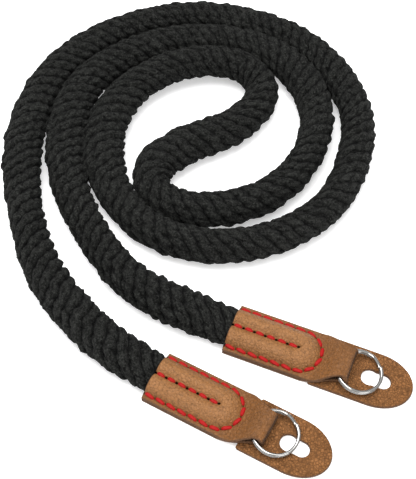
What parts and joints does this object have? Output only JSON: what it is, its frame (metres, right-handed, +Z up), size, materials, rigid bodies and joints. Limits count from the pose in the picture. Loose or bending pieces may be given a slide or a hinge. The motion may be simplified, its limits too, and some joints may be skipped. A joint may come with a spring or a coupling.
{
  "type": "camera strap",
  "caption": "Camera neck strap: soft round rope laid in a flat spiral, each end held in a folded leather sleeve with a split ring and a leather guard flap.",
  "frame": {"origin": "centre of the footprint on the surface that the strap lies on", "axes": "+X to the right and +Y away as seen from the side with the leather ends, +Z up"},
  "size_m": [0.137, 0.1948, 0.0137],
  "materials": {
    "rope": "black knitted cotton rope with chunky slanted stitches, matt and slightly fuzzy",
    "sleeve_leather": "tan brown leather, smooth satin top grain with fine creases",
    "guard_leather": "tan leather, matt pebbled grain, mottled",
    "ring_metal": "polished nickel plated steel wire",
    "thread": "waxed red thread"
  },
  "bodies": {
    "strap": {"rope": "rope", "leather_sleeve_a": "sleeve_leather", "leather_sleeve_b": "sleeve_leather", "guard_flap_a": "guard_leather", "guard_flap_b": "guard_leather"},
    "ring_a": {"split_ring_a": "ring_metal"},
    "ring_b": {"split_ring_b": "ring_metal"}
  },
  "joints": [
    {"name": "ring_a_turn", "type": "hinge", "parent": "strap", "child": "ring_a", "pos_m": [0.05221, -0.06388, 0.00357], "axis": [0.1213, -0.049, 0.9914], "continuous": true},
    {"name": "ring_b_turn", "type": "hinge", "parent": "strap", "child": "ring_b", "pos_m": [0.02523, -0.08433, 0.00357], "axis": [0.1148, -0.0628, 0.9914], "continuous": true}
  ]
}
